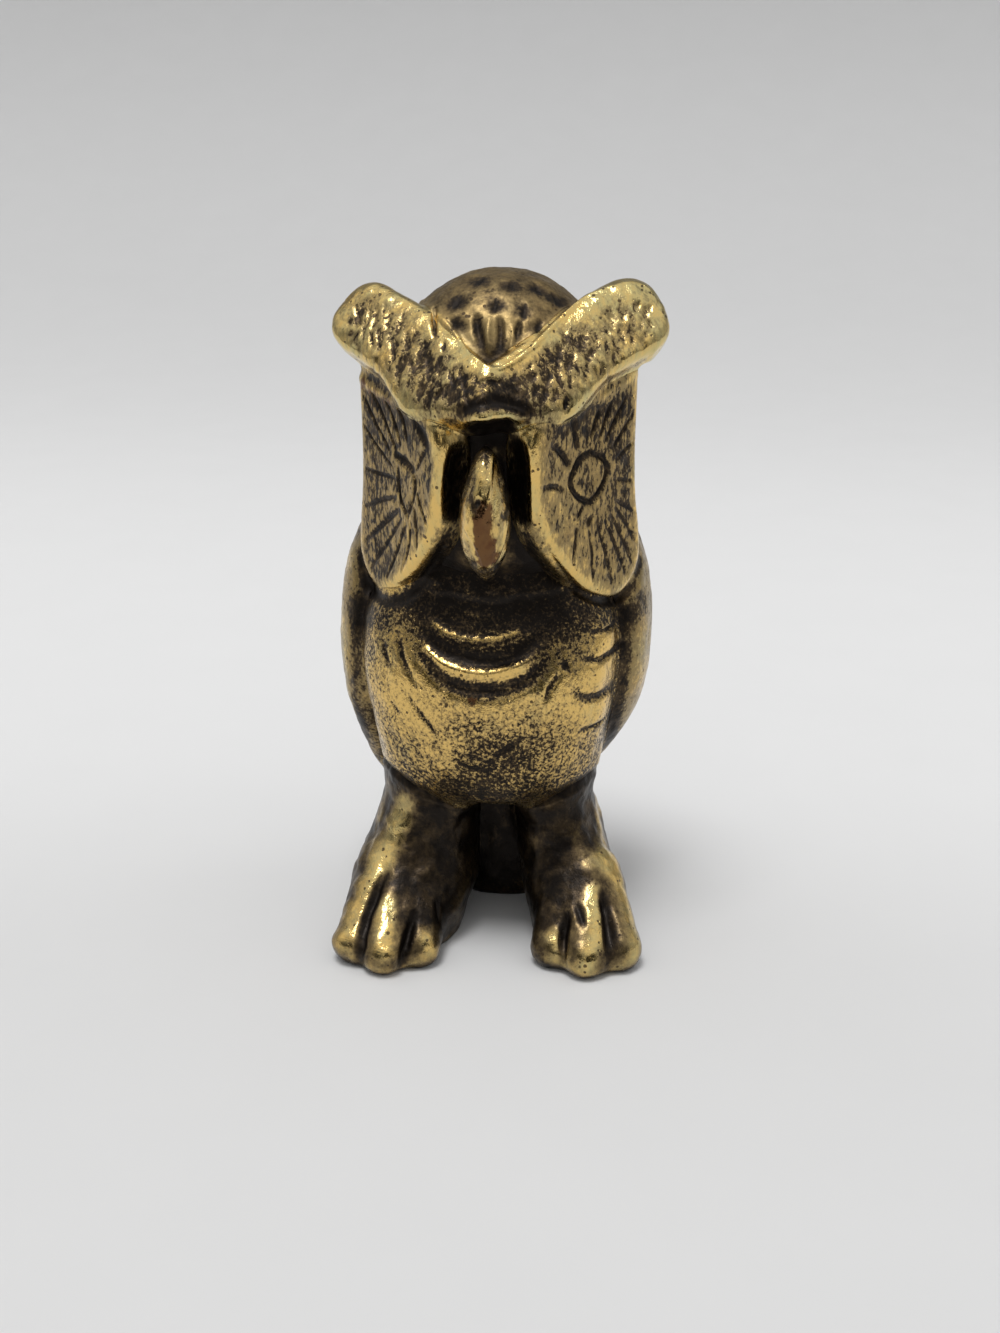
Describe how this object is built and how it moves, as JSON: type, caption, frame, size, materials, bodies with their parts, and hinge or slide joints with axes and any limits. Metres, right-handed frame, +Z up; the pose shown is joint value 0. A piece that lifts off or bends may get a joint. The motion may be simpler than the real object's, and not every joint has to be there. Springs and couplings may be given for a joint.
{
  "type": "owl figurine",
  "caption": "Small standing owl figurine in cast brass, with a V-shaped brow ending in ear tufts, swept-back face discs, folded wings, toed feet and a tail that helps it stand.",
  "frame": {"origin": "centre of the bounding box's footprint, on the table", "axes": "+Z up; the owl looks along -Y; its own left side is towards +X"},
  "size_m": [0.0382, 0.034, 0.0777],
  "materials": {
    "brass": "hand-worn, gold on the high spots, brown-black patina in the hollows",
    "dark_brass": "darkened smooth brass",
    "worn_brass": "worn to a coppery shine along the ridge"
  },
  "bodies": {
    "root": {"torso": "brass", "head": "brass", "beak": "worn_brass", "right_brow": "brass", "left_brow": "brass", "right_face_disc": "brass", "left_face_disc": "brass", "right_wing": "dark_brass", "left_wing": "dark_brass", "right_leg": "dark_brass", "left_leg": "dark_brass", "tail": "dark_brass"}
  },
  "joints": []
}
